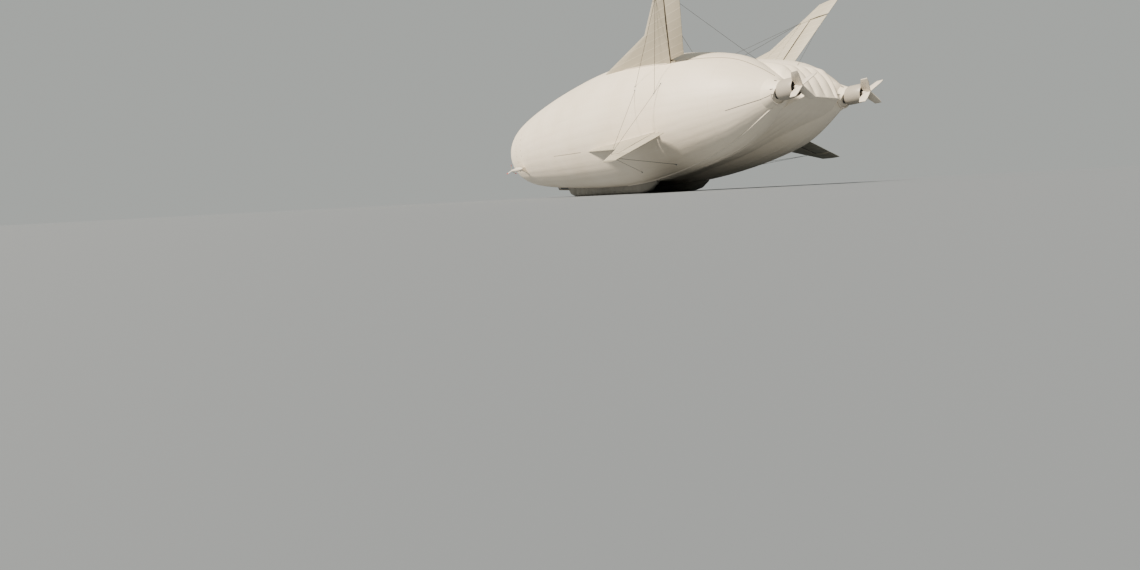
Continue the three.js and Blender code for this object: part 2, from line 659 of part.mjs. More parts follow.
const port = side("port");
const starboard = side("starboard");
starboard.scale.x = -1;
airship.add(port, starboard, cabin);
piece(airship, "envelope_centre", centreSection(), hullFabric);
piece(cabin, "gondola_floor", cabinFloor(), composite);
piece(cabin, "gondola_roof", cabinRoof(), composite);
piece(cabin, "gondola_front", cabinFront(), composite);
piece(cabin, "windscreen", cabinScreen(), glass);
piece(cabin, "gondola_bulkhead", cabinRear(), composite);
piece(cabin, "gondola_fairing", cabinFairing(), composite);

airship.scale.setScalar(metre);
airship.position.set(0, (-overallLength / 2) * metre, -floorZ * metre);

export default airship;
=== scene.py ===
# Hybrid airship with a fabric hull of two lobes, a 1:10 model that stands on its landing skids.
# Places are in full-size metres as in the part: x to port, y aft from the nose, z up from the lobes' ends.
import json
import math

import bmesh
import bpy
from mathutils import Matrix, Vector

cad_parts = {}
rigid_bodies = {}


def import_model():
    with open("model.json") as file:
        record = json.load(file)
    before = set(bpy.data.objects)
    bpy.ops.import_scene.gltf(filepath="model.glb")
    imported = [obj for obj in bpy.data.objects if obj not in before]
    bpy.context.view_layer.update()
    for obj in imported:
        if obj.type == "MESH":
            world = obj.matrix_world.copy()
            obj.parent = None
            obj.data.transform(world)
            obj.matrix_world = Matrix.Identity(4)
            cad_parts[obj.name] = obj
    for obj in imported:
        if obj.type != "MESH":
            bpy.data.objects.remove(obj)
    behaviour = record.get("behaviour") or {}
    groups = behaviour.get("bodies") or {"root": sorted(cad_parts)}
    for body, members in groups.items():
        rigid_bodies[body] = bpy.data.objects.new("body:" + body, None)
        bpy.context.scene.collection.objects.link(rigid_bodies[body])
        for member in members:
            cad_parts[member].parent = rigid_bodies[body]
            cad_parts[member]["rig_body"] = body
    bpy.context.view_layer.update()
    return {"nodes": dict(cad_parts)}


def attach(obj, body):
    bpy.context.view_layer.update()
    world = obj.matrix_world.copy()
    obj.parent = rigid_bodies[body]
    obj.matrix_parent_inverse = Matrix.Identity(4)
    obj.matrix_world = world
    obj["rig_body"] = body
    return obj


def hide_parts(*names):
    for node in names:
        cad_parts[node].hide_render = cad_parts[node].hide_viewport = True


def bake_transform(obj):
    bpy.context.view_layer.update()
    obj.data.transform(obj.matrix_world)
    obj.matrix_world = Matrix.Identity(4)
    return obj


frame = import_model()
cadNodes = frame["nodes"]

model = {"metre": 0.0975, "length": 94.204, "floor": 12.3}
sides = {"port": 1, "starboard": -1}
# how near two points are when they become one: in metres of the model, full-size ones where a shape is turned
weld = {"piece": 1e-5, "turned": 1e-4, "cadNode": 3e-5}


def modelPoint(x, y, z):
    return Vector((x, y - model["length"] / 2, z + model["floor"])) * model["metre"]


def between(ends, share):
    return ends[0] + (ends[1] - ends[0]) * share


# Materials
def linearColour(hexValue):
    channels = [int(hexValue[i : i + 2], 16) / 255 for i in (1, 3, 5)]
    return [c / 12.92 if c <= 0.04045 else ((c + 0.055) / 1.055) ** 2.4 for c in channels] + [1]


# A noise scale from the size of its marks on the model, in millimetres.
def perMetre(size):
    return 1000 / size


# A Mix node's colours share their names with other sockets, so they go by number: 0 share, 6 and 7 colours.
def addNode(tree, kind, inputs=None, **settings):
    node = tree.nodes.new(kind)
    for name, value in settings.items():
        setattr(node, name, value)
    for name, value in (inputs or {}).items():
        if isinstance(value, bpy.types.NodeSocket):
            tree.links.new(value, node.inputs[name])
        else:
            node.inputs[name].default_value = value
    return node


def startMaterial(name, hexValue, roughness):
    material = bpy.data.materials.new(name)
    material.use_nodes = True
    tree = material.node_tree
    shader = tree.nodes["Principled BSDF"]
    shader.inputs["Base Color"].default_value = linearColour(hexValue)
    shader.inputs["Roughness"].default_value = roughness
    return material, tree, shader


# A number that is 1 on the whole values of a coordinate and falls to 0 at a width from them.
def lineAtWhole(tree, value, width):
    away = addNode(tree, "ShaderNodeMath", {0: value, 1: 0.5}, operation="PINGPONG").outputs[0]
    edge = {"Value": away, "From Min": width, "From Max": width * 0.5}
    return addNode(tree, "ShaderNodeMapRange", edge).outputs["Result"]


# Laminated polyester cut in gores gives the eye an even satin sheet with long soft creases, paler tapes over
# its lengthwise seams and faint seams across. Sizes are in millimetres on the model; the threads are 0.1 mm
# there and are drawn 11 mm wide so that they show at all.
laminate = {
    "cloud": 770, "crease": 625, "creaseAlong": 0.5, "creaseAcross": 5.0, "thread": 11, "panel": 900,
    "roughness": 0.5,
    "cloudReach": (0.35, 0.7),
    # tapes along and seams across: half width as a share of a gore or a panel, and how strongly they show
    "tape": (0.028, 0.4), "cross": (0.008, 0.12),
    # how far threads and tapes stand out, against the creases
    "threadRise": 0.04, "tapeRise": 0.05,
    "bump": {"Strength": 0.35, "Distance": 0.012},
}


def laminatedFabric(name, hexValue, shadeHex, seamHex):
    material, tree, shader = startMaterial(name, hexValue, laminate["roughness"])
    coords = addNode(tree, "ShaderNodeTexCoord").outputs["Object"]
    broad = {"Vector": coords, "Scale": perMetre(laminate["cloud"]), "Detail": 5.0}
    cloud = addNode(tree, "ShaderNodeTexNoise", broad).outputs["Fac"]
    low, high = laminate["cloudReach"]
    spread = addNode(tree, "ShaderNodeMapRange", {"Value": cloud, "From Min": low, "From Max": high})
    shaded = {0: spread.outputs["Result"], 6: linearColour(hexValue), 7: linearColour(shadeHex)}
    colour = addNode(tree, "ShaderNodeMix", shaded, data_type="RGBA").outputs[2]
    gores = addNode(tree, "ShaderNodeUVMap", uv_map="gores").outputs["UV"]
    split = addNode(tree, "ShaderNodeSeparateXYZ", {"Vector": gores})
    half, strength = laminate["tape"]
    seam = lineAtWhole(tree, split.outputs["X"], half)
    tape = addNode(tree, "ShaderNodeMath", {0: seam, 1: strength}, operation="MULTIPLY").outputs[0]
    taped = {0: tape, 6: colour, 7: linearColour(seamHex)}
    colour = addNode(tree, "ShaderNodeMix", taped, data_type="RGBA").outputs[2]
    half, strength = laminate["cross"]
    pitch = {0: split.outputs["Y"], 1: perMetre(laminate["panel"])}
    panels = addNode(tree, "ShaderNodeMath", pitch, operation="MULTIPLY").outputs[0]
    faint = {0: lineAtWhole(tree, panels, half), 1: strength}
    cross = addNode(tree, "ShaderNodeMath", faint, operation="MULTIPLY").outputs[0]
    crossed = {0: cross, 6: colour, 7: linearColour(shadeHex)}
    colour = addNode(tree, "ShaderNodeMix", crossed, data_type="RGBA", blend_type="MULTIPLY").outputs[2]
    tree.links.new(colour, shader.inputs["Base Color"])
    stretch = (laminate["creaseAcross"], laminate["creaseAlong"], laminate["creaseAcross"])
    drawn = addNode(tree, "ShaderNodeMapping", {"Vector": coords, "Scale": stretch}).outputs["Vector"]
    long = {"Vector": drawn, "Scale": perMetre(laminate["crease"]), "Detail": 4.0}
    crease = addNode(tree, "ShaderNodeTexNoise", long).outputs["Fac"]
    fine = {"Vector": coords, "Scale": perMetre(laminate["thread"]), "Detail": 2.0}
    weave = addNode(tree, "ShaderNodeTexNoise", fine).outputs["Fac"]
    rise = {0: weave, 1: laminate["threadRise"], 2: crease}
    height = addNode(tree, "ShaderNodeMath", rise, operation="MULTIPLY_ADD").outputs[0]
    rise = {0: seam, 1: laminate["tapeRise"], 2: height}
    height = addNode(tree, "ShaderNodeMath", rise, operation="MULTIPLY_ADD").outputs[0]
    bump = addNode(tree, "ShaderNodeBump", {"Height": height, **laminate["bump"]})
    tree.links.new(bump.outputs["Normal"], shader.inputs["Normal"])
    return material


# A heat-shrunk polyester cover gives tight satin cloth that dips a little between the ribs under it, with a
# paler tape over each rib. The ribs stand 102 mm apart on the model, as the cover's own map counts them.
ribCover = {
    "cloud": 330, "roughness": 0.55, "tape": 0.05, "dip": -0.6, "bump": {"Strength": 0.25, "Distance": 0.004},
}


def ribbedCover(name, hexValue, shadeHex, tapeHex):
    material, tree, shader = startMaterial(name, hexValue, ribCover["roughness"])
    coords = addNode(tree, "ShaderNodeTexCoord").outputs["Object"]
    broad = {"Vector": coords, "Scale": perMetre(ribCover["cloud"]), "Detail": 5.0}
    cloud = addNode(tree, "ShaderNodeTexNoise", broad).outputs["Fac"]
    ribs = addNode(tree, "ShaderNodeUVMap", uv_map="ribs").outputs["UV"]
    split = addNode(tree, "ShaderNodeSeparateXYZ", {"Vector": ribs})
    tape = lineAtWhole(tree, split.outputs["X"], ribCover["tape"])
    shaded = {0: cloud, 6: linearColour(hexValue), 7: linearColour(shadeHex)}
    colour = addNode(tree, "ShaderNodeMix", shaded, data_type="RGBA").outputs[2]
    taped = {0: tape, 6: colour, 7: linearColour(tapeHex)}
    colour = addNode(tree, "ShaderNodeMix", taped, data_type="RGBA").outputs[2]
    tree.links.new(colour, shader.inputs["Base Color"])
    away = addNode(tree, "ShaderNodeMath", {0: split.outputs["X"], 1: 0.5}, operation="PINGPONG").outputs[0]
    rise = {0: away, 1: ribCover["dip"], 2: tape}
    height = addNode(tree, "ShaderNodeMath", rise, operation="MULTIPLY_ADD").outputs[0]
    bump = addNode(tree, "ShaderNodeBump", {"Height": height, **ribCover["bump"]})
    tree.links.new(bump.outputs["Normal"], shader.inputs["Normal"])
    return material


# Sprayed paint or coating gives a smooth coat with a soft, faintly uneven gloss and a little grime, in clouds
# that are 110 mm wide where a finish doesn't say otherwise.
coat = {"grimeHex": "#4A463F", "grimeReach": (0.5, 0.8), "bump": {"Strength": 0.1, "Distance": 0.002}}


def sprayedCoat(name, hexValue, roughness, unevenness=0.08, grime=0.12, cloudSize=110):
    material, tree, shader = startMaterial(name, hexValue, roughness)
    coords = addNode(tree, "ShaderNodeTexCoord").outputs["Object"]
    broad = {"Vector": coords, "Scale": perMetre(cloudSize), "Detail": 5.0}
    cloud = addNode(tree, "ShaderNodeTexNoise", broad).outputs["Fac"]
    gloss = {"Value": cloud, "To Min": roughness - unevenness, "To Max": roughness + unevenness}
    spread = addNode(tree, "ShaderNodeMapRange", gloss).outputs["Result"]
    tree.links.new(spread, shader.inputs["Roughness"])
    low, high = coat["grimeReach"]
    dirt = {"Value": cloud, "From Min": low, "From Max": high, "To Max": grime}
    share = addNode(tree, "ShaderNodeMapRange", dirt).outputs["Result"]
    dirty = {0: share, 6: linearColour(hexValue), 7: linearColour(coat["grimeHex"])}
    colour = addNode(tree, "ShaderNodeMix", dirty, data_type="RGBA").outputs[2]
    tree.links.new(colour, shader.inputs["Base Color"])
    bump = addNode(tree, "ShaderNodeBump", {"Height": cloud, **coat["bump"]})
    tree.links.new(bump.outputs["Normal"], shader.inputs["Normal"])
    return material


# The same coat on a composite blade, with another colour past a reach from the shaft, on both sides.
def bladePaint(name, hexValue, tipHex, roughness, shaft, tipReach):
    material = sprayedCoat(name, hexValue, roughness)
    tree = material.node_tree
    shader = tree.nodes["Principled BSDF"]
    coords = addNode(tree, "ShaderNodeTexCoord").outputs["Object"]
    split = addNode(tree, "ShaderNodeSeparateXYZ", {"Vector": coords})
    outward = addNode(tree, "ShaderNodeMath", {0: split.outputs["X"]}, operation="ABSOLUTE").outputs[0]
    acrossX = addNode(tree, "ShaderNodeMath", {0: outward, 1: shaft.x}, operation="SUBTRACT").outputs[0]
    upward = split.outputs["Z"]
    acrossZ = addNode(tree, "ShaderNodeMath", {0: upward, 1: shaft.z}, operation="SUBTRACT").outputs[0]
    across = addNode(tree, "ShaderNodeCombineXYZ", {"X": acrossX, "Y": acrossZ}).outputs["Vector"]
    reach = addNode(tree, "ShaderNodeVectorMath", {0: across}, operation="LENGTH").outputs["Value"]
    tip = addNode(tree, "ShaderNodeMath", {0: reach, 1: tipReach}, operation="GREATER_THAN").outputs[0]
    tipped = {0: tip, 6: shader.inputs["Base Color"].links[0].from_socket, 7: linearColour(tipHex)}
    colour = addNode(tree, "ShaderNodeMix", tipped, data_type="RGBA").outputs[2]
    tree.links.new(colour, shader.inputs["Base Color"])
    return material


finishes = {
    "hull": laminatedFabric("laminatedPolyester", "#E6DBC9", "#DDD1BD", "#EBE3D5"),
    # welded tape of the same laminate: a little greyer and smoother than the sheet
    "tape": sprayedCoat("weldedSeamTape", "#DAD1C2", 0.45),
    "fin": ribbedCover("heatShrunkPolyester", "#AFA897", "#A69F8D", "#BBB4A3"),
    # moulded carbon composite under cream paint: soft gloss, a little grime
    "composite": sprayedCoat("paintedCarbonComposite", "#D6CDBE", 0.4),
    # the same composite in a greyer coat round the aft fans
    "ductCoat": sprayedCoat("greyPaintedComposite", "#A29B8F", 0.45),
    # thread in the seams: dull and darker than the cloth; on the ridge seam over each lobe's tail the darker
    # colour is painted shade
    "stitch": sprayedCoat("darkThreadAndPaintedShade", "#8F8779", 0.65),
    # painted shade: dull grey-brown that darkens the inside of each aft duct, its hub and its struts,
    # and the hinge grooves of the fins, where shade falls
    "paintedShade": sprayedCoat("paintedShadeGreyBrown", "#6E675E", 0.6),
    # satin near-black paint on aluminium frames; on the drum inside each collar and on the collar's slots
    # the near black is painted shade
    "darkFrame": sprayedCoat("blackPaintAndPaintedShade", "#2B2D2E", 0.45, grime=0.0),
    # grey anodised window bars: satin, lighter than the panes
    "bar": sprayedCoat("anodisedWindowBar", "#55585A", 0.4, grime=0.0),
    # dark composite blades of the aft fans: satin, clean
    "fan": sprayedCoat("bareCarbonBlade", "#5B564F", 0.4, grime=0.0),
    # tinted acrylic with a dark cabin behind it: near black with a sharp gloss
    "glass": sprayedCoat("tintedAcrylic", "#0B0E10", 0.12, 0.02, 0.0),
    # rubber-coated cloth scuffed by the ground: dull grey with broad stains
    "skid": sprayedCoat("rubberCoatedCloth", "#8B877E", 0.7, grime=0.35, cloudSize=220),
    # stranded steel with a dark coat: thin, satin, almost black
    "steel": sprayedCoat("coatedSteelStrand", "#3C3C3D", 0.4, grime=0.0),
}
print("materials")


# Pieces
def finishPiece(name, bm, finish, sharp=30, body="airship", replaces=()):
    bmesh.ops.remove_doubles(bm, verts=bm.verts, dist=weld["piece"])
    bmesh.ops.recalc_face_normals(bm, faces=bm.faces)
    mesh = bpy.data.meshes.new(name)
    for face in bm.faces:
        face.smooth = True
    bm.to_mesh(mesh)
    bm.free()
    mesh.set_sharp_from_angle(angle=math.radians(sharp))
    piece = bpy.data.objects.new(name, mesh)
    bpy.context.scene.collection.objects.link(piece)
    for each in finish if isinstance(finish, tuple) else (finish,):
        mesh.materials.append(finishes[each])
    if body:
        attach(piece, body)
    for node in replaces:
        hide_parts(node)
    return piece


# A finer copy of a CAD node: its flat faces are merged and its sharp edges rounded.
nodeCopy = {"flat": 0.5, "bevelSteps": 2}


def dressNode(nodeName, finish, bevel, sharp=32, lay=None):
    bm = bmesh.new()
    bm.from_mesh(cadNodes[nodeName].data)
    bmesh.ops.remove_doubles(bm, verts=bm.verts, dist=weld["cadNode"])
    bmesh.ops.dissolve_limit(bm, angle_limit=math.radians(nodeCopy["flat"]), verts=bm.verts, edges=bm.edges)
    edges = [e for e in bm.edges if e.is_manifold and e.calc_face_angle() > math.radians(sharp)]
    bmesh.ops.bevel(
        bm, geom=edges, offset=bevel * model["metre"], segments=nodeCopy["bevelSteps"], profile=0.5,
        affect="EDGES", material=-1, clamp_overlap=True,
    )
    if lay:
        lay(bm)
    finishPiece(f"{nodeName}_skin", bm, finish, sharp, cadNodes[nodeName]["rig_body"], (nodeName,))


# A CAD node that shows as it is, in a finish of the scene.
def coatNode(nodeName, finish):
    for slot in cadNodes[nodeName].material_slots:
        slot.material = finishes[finish]


# Round lines, ropes and seams through rows of points in model metres.
tube = {"roundness": 2, "sharp": 60}


def tubeAlong(name, runs, radius, finish, body="airship"):
    curve = bpy.data.curves.new(name, "CURVE")
    curve.dimensions = "3D"
    curve.bevel_depth = radius * model["metre"]
    curve.bevel_resolution = tube["roundness"]
    curve.use_fill_caps = True
    for run in runs:
        spline = curve.splines.new("POLY")
        spline.points.add(len(run) - 1)
        for point, place in zip(spline.points, run):
            point.co = (*place, 1)
    shape = bpy.data.objects.new(name, curve)
    bm = bmesh.new()
    bm.from_mesh(bpy.data.meshes.new_from_object(shape))
    bpy.data.objects.remove(shape)
    return finishPiece(name, bm, finish, tube["sharp"], body)


# The radius of a turned profile at a place along it.
def radiusAt(profile, y):
    for start, end in zip(profile, profile[1:]):
        if y <= end[0]:
            return start[1] + (end[1] - start[1]) * (y - start[0]) / (end[0] - start[0])
    return profile[-1][1]


# The spline that the part draws its profiles with, with more steps between the points.
def splineThrough(rows, steps):
    points = [Vector(row) for row in rows]
    fine = []
    for i in range(len(points) - 1):
        before, start, end, after = (points[min(max(i + k, 0), len(points) - 1)] for k in (-1, 0, 1, 2))
        for step in range(steps):
            t = step / steps
            lead, tail = (end - before) / 2, (after - start) / 2
            cubic = 2 * start - 2 * end + lead + tail
            square = 3 * end - 3 * start - 2 * lead - tail
            fine.append(cubic * t**3 + square * t**2 + lead * t + start)
    return fine + [points[-1]]


# A body turned about a line along y, from rows of y and radius.
def turnRows(bm, rows, centre, steps):
    verts = [bm.verts.new((centre[0] + radius, y, centre[1])) for y, radius in rows]
    edges = [bm.edges.new(pair) for pair in zip(verts, verts[1:])]
    bmesh.ops.spin(
        bm, geom=verts + edges, cent=(centre[0], 0, centre[1]), axis=(0, 1, 0), angle=math.tau, steps=steps,
        use_merge=True,
    )
    bmesh.ops.remove_doubles(bm, verts=bm.verts, dist=weld["turned"])


# Takes away what lies past a plane and closes the cut.
def cutAway(bm, place, way):
    cut = bmesh.ops.bisect_plane(
        bm, geom=bm.verts[:] + bm.edges[:] + bm.faces[:], plane_co=place, plane_no=way, clear_outer=True
    )
    bmesh.ops.holes_fill(bm, edges=[e for e in cut["geom_cut"] if isinstance(e, bmesh.types.BMEdge)])


def toModel(bm, sign=1):
    for vert in bm.verts:
        vert.co = modelPoint(sign * vert.co.x, vert.co.y, vert.co.z)


# Hull
hull = {
    "length": 90,
    "radius": 11.5,
    "axisX": 6.2,
    "axisZ": -0.2,
    "rise": 0.65,
    # how far the axis turns in at nose and tail, up to and from which share of the length, and how sharply
    "noseIn": 0.14, "noseTo": 0.4, "nosePower": 1.5,
    "tailIn": 0.03, "tailFrom": 0.4,
    "profile": [
        (0, 0), (0.002, 0.125), (0.01, 0.28), (0.03, 0.46), (0.07, 0.655), (0.13, 0.77), (0.22, 0.85),
        (0.33, 0.91), (0.45, 0.955), (0.57, 0.972), (0.68, 0.935), (0.78, 0.835), (0.87, 0.68), (0.94, 0.485),
        (1, 0.14),
    ],
    "profileSteps": 6,
    "gores": 36,
    "stepsPerGore": 6,
    "goreSwell": 0.022,
    "middleGap": 0.002,  # each lobe stops this far from the middle
    "pole": 1e-4,  # closer to its axis a point has no angle of its own
}
profileRows = [(t * hull["length"], r * hull["radius"]) for t, r in hull["profile"]]
hullProfile = splineThrough(profileRows, hull["profileSteps"])
# steps over the skin: how far to each side its slope is read, and how far apart a line's points are
skinStep = {"slopeAft": 0.1, "slopeAround": 0.5, "lineAft": 0.5, "lineAround": 4}


def hullAxis(y):
    t = min(max(y / hull["length"], 0), 1)
    nose = hull["noseIn"] * max(0, 1 - t / hull["noseTo"]) ** hull["nosePower"]
    tail = hull["tailIn"] * max(0, (t - hull["tailFrom"]) / (1 - hull["tailFrom"]))
    return hull["axisX"] * (1 - nose - tail), hull["axisZ"] + hull["rise"] * 4 * t * (1 - t)


# The fabric swells a little between the seams of its gores.
def swell(turn):
    return 1 + hull["goreSwell"] / hull["radius"] * abs(math.sin(turn * hull["gores"] / 2))


# A point on a lobe's skin, at an angle up from outboard.
def onHull(y, angle, sign, lift=0):
    x, z = hullAxis(y)
    turn = math.radians(angle)
    reach = radiusAt(hullProfile, y) * swell(turn) + lift
    return modelPoint(sign * (x + reach * math.cos(turn)), y, z + reach * math.sin(turn))


# A frame on the skin: z out of it, y aft.
def hullFrame(y, angle, sign, lift=0):
    place = onHull(y, angle, sign, lift)
    step, turn = skinStep["slopeAft"], skinStep["slopeAround"]
    aft = (onHull(y + step, angle, sign, lift) - onHull(y - step, angle, sign, lift)).normalized()
    around = onHull(y, angle + turn, sign, lift) - onHull(y, angle - turn, sign, lift)
    out = around.cross(aft).normalized() * -sign
    if out.dot(place - modelPoint(sign * hullAxis(y)[0], y, hullAxis(y)[1])) < 0:
        out = -out
    return Matrix.Translation(place) @ Matrix((aft.cross(out), aft, out)).transposed().to_4x4()


# A line over the skin through stops of y and angle.
def hullPath(stops, sign):
    path = []
    for (y0, a0), (y1, a1) in zip(stops, stops[1:]):
        steps = max(abs(y1 - y0) / skinStep["lineAft"], abs(a1 - a0) / skinStep["lineAround"])
        count = max(2, round(steps))
        path += [(between((y0, y1), i / count), between((a0, a1), i / count)) for i in range(count)]
    return [onHull(y, a, sign) for y, a in path + [stops[-1]]]


def buildLobe(side, sign):
    bm = bmesh.new()
    rows = [tuple(p) for p in hullProfile] + [(hull["length"], 0)]
    turnRows(bm, rows, (0, 0), hull["gores"] * hull["stepsPerGore"])
    gores = bm.loops.layers.uv.new("gores")
    for face in bm.faces:
        middle = face.calc_center_median()
        home = math.atan2(middle.z, middle.x)
        for loop in face.loops:
            place = loop.vert.co
            turn = math.atan2(place.z, place.x) if place.xz.length > hull["pole"] else home
            turn = home + (turn - home + math.pi) % math.tau - math.pi
            loop[gores].uv = (turn / math.tau * hull["gores"], place.y * model["metre"])
    for vert in bm.verts:
        x, z = hullAxis(vert.co.y)
        turn = math.atan2(vert.co.z, vert.co.x)
        reach = vert.co.xz.length * swell(turn)
        vert.co = Vector((x + reach * math.cos(turn), vert.co.y, z + reach * math.sin(turn)))
    cutAway(bm, (hull["middleGap"], 0, 0), (-1, 0, 0))
    toModel(bm, sign)
    finishPiece(f"lobeSkin_{side}", bm, "hull", 60, replaces=(f"envelope_lobe_{side}",))


for side, sign in sides.items():
    buildLobe(side, sign)
print("hull lobes")


# Fluted centre section between the tails
centre = {
    "fluteWidth": 2.03,
    "flutes": 5,
    # flutes in the middle that keep their width
    "plain": 3,
    "stepsPerFlute": 16,
    "rowsPerStation": 8,
    # y, half width, top z between the flutes, z at the edge, bottom z, height of the flutes
    "stations": [
        (61, 5.075, -6, -6, -10, 0.3), (70, 5.075, 5.2, 5.2, -8.4, 0.5), (78, 5.075, 5, 5, -6.6, 0.6),
        (84, 5.075, 4.6, 4.6, -4.5, 0.65), (88, 5.075, 3.4, 2.9, -2.8, 0.6), (89.4, 4.9, 2.3, 1, -2, 0.6),
        (90.4, 4.35, 1, -0.4, -1.45, 0.7), (91, 3.95, -0.1, -0.8, -1.12, 0.6),
        (91.35, 3.75, -0.62, -0.86, -0.95, 0.3), (91.5, 3.7, -0.72, -0.86, -0.9, 0.02),
    ],
    # shallow drapes of the underside, which fade out over the last metres
    "drape": 0.07,
    "drapes": 3,
    "drapeFade": 6,
    "edgeRadius": 0.07,
    "edgeStops": (-1, -0.5, 0, 0.5, 1),
}


# Flutes over the top, all but flat below; the outer ones narrow with the section and fall to its edge.
def buildCentre():
    bm = bmesh.new()
    rows = splineThrough(centre["stations"], centre["rowsPerStation"])
    width = centre["fluteWidth"]
    middle = centre["plain"] / 2 * width
    across = centre["flutes"] * centre["stepsPerFlute"]
    bmesh.ops.create_grid(bm, x_segments=across, y_segments=len(rows) - 1, size=1)
    for vert in bm.verts:
        y, half, top, edge, _, height = rows[round((vert.co.y + 1) / 2 * (len(rows) - 1))]
        x = vert.co.x * centre["flutes"] / 2 * width
        past = max(0, abs(x) - middle) / width
        crown = edge + (top - edge) * math.sqrt(max(0, 1 - past**2))
        reach = math.copysign(min(abs(x), middle) + past * (half - middle), x)
        vert.co = Vector((reach, y, crown + height * abs(math.cos(math.pi * x / width))))
    made = bmesh.ops.extrude_face_region(bm, geom=bm.faces[:])
    for vert in (e for e in made["geom"] if isinstance(e, bmesh.types.BMVert)):
        y, half, _, _, bottom, _ = min(rows, key=lambda row: abs(row[0] - vert.co.y))
        fade = min(1, (rows[-1][0] - y) / centre["drapeFade"])
        fold = abs(math.sin(math.pi * centre["drapes"] * vert.co.x / half))
        vert.co.z = bottom - centre["drape"] * fade * fold
    gores = bm.loops.layers.uv.new("gores")
    for face in bm.faces:
        for loop in face.loops:
            place = loop.vert.co
            loop[gores].uv = (place.x / width + 0.5, place.y * model["metre"])
    toModel(bm)
    finishPiece("centreSkin", bm, "hull", 50, replaces=("envelope_centre",))
    y, half, top, _, bottom, _ = centre["stations"][-1]
    edge = [modelPoint(half * share, y, (top + bottom) / 2) for share in centre["edgeStops"]]
    tubeAlong("centreRearEdge", [edge], centre["edgeRadius"], "tape")


buildCentre()
print("centre section")


# Tail fins: the turn of each from upright, its foot as x and z, then points as y and the reach from the foot
fins = {
    "upper": {
        "turn": 27.5, "foot": (7.51, -0.53), "strake": (56.7, 11), "kink": (71.2, 13.8),
        "tipFront": (78.6, 19.9), "hingeRoot": (75.1, 9), "hingeTop": (78.1, 17.2),
    },
    "lower": {
        "turn": 112, "foot": (6.03, 0.03), "strake": (56, 11), "kink": (69.8, 13.9),
        "tipFront": (75, 20), "hingeRoot": (74.35, 9.5), "hingeTop": (75.7, 17.4),
    },
}
finLook = {
    "ribPitch": 1.05, "bevel": 0.03, "noseTape": 0.05,
    # the groove in painted shade: from how far ahead of the hinge to how far behind, and how its faces look:
    # ahead or aft
    "groove": (-0.5, 0.1), "facing": (-0.3, 0.8),
}
# tape along a fin's root, which parts to both faces over its first steps
rootTape = {"start": 0.4, "end": 0.5, "step": 0.8, "partSteps": 12, "half": 0.34, "radius": 0.07}
# the seam where a fin's tip joins: shares of the chord ahead of the hinge, and of the plate's half thickness
tipSeam = {"rows": [(0, 0.14), (0.08, 0.55), (0.3, 1), (0.7, 1), (1, 0.85)], "half": 0.215, "radius": 0.035}


# A point of a fin's own plane: y aft, the reach from its foot, and out of the plate.
def finPoint(fin, y, reach, sign, out=0):
    turn = math.radians(fin["turn"])
    x = fin["foot"][0] + reach * math.sin(turn) + out * math.cos(turn)
    return modelPoint(sign * x, y, fin["foot"][1] + reach * math.cos(turn) - out * math.sin(turn))


# Where a fin's plane meets the skin of its lobe.
def rootReach(fin, y):
    turn = math.radians(fin["turn"])
    x, z = hullAxis(y)
    away = Vector((fin["foot"][0] - x, fin["foot"][1] - z))
    along = away.dot(Vector((math.sin(turn), math.cos(turn))))
    return -along + math.sqrt(along**2 - away.length_squared + radiusAt(hullProfile, y) ** 2)


# The ribs run aft, so the cover's map counts them along the reach. Faces inside the hinge's groove get
# painted shade.
def coverLayer(fin, sign):
    turn = math.radians(fin["turn"])
    foot = modelPoint(sign * fin["foot"][0], 0, fin["foot"][1])
    way = Vector((sign * math.sin(turn), 0, math.cos(turn)))
    (hingeY, hingeReach), (topY, topReach) = fin["hingeRoot"], fin["hingeTop"]

    def lay(bm):
        ribs = bm.loops.layers.uv.new("ribs")
        bm.normal_update()
        for face in bm.faces:
            for loop in face.loops:
                reach = (loop.vert.co - foot).dot(way) / model["metre"]
                loop[ribs].uv = (reach / finLook["ribPitch"], loop.vert.co.y)
            middle = face.calc_center_median()
            reach = (middle - foot).dot(way) / model["metre"]
            y = middle.y / model["metre"] + model["length"] / 2
            past = y - hingeY - (topY - hingeY) * (reach - hingeReach) / (topReach - hingeReach)
            facing = not finLook["facing"][0] <= face.normal.y <= finLook["facing"][1]
            inGroove = finLook["groove"][0] < past < finLook["groove"][1]
            # painted shade: faces inside the hinge's groove take the dark grey-brown colour
            face.material_index = 1 if facing and inGroove else 0

    return lay


def buildFin(level, side, sign):
    fin = fins[level]
    for part in ("fin", "flap"):
        lay = coverLayer(fin, sign)
        dressNode(f"{part}_{level}_{side}", ("fin", "paintedShade"), finLook["bevel"], lay=lay)
    first = fin["strake"][0] + rootTape["start"]
    count = math.ceil((fin["hingeRoot"][0] - rootTape["end"] - first) / rootTape["step"])
    runs = [[], []]
    for run, face in zip(runs, (-1, 1)):
        for i in range(count):
            y = first + i * rootTape["step"]
            out = face * min(1, (i + 1) / rootTape["partSteps"]) * rootTape["half"]
            run.append(finPoint(fin, y, rootReach(fin, y), sign, out))
    tubeAlong(f"finRootTape_{level}_{side}", runs, rootTape["radius"], "tape")
    nose = [finPoint(fin, y, reach, sign) for y, reach in (fin["kink"], fin["tipFront"])]
    tubeAlong(f"finNoseTape_{level}_{side}", [nose], finLook["noseTape"], "tape")
    (kinkY, kinkReach), (tipY, tipReach), (hingeY, reach) = (fin[k] for k in ("kink", "tipFront", "hingeTop"))
    front = kinkY + (tipY - kinkY) * (reach - kinkReach) / (tipReach - kinkReach)
    runs = [[], []]
    for run, face in zip(runs, (-1, 1)):
        for share, full in tipSeam["rows"]:
            out = face * full * tipSeam["half"]
            run.append(finPoint(fin, between((front, hingeY), share), reach, sign, out))
    tubeAlong(f"finTipSeam_{level}_{side}", runs, tipSeam["radius"], "stitch")


for side, sign in sides.items():
    for level in fins:
        buildFin(level, side, sign)
print("fins")


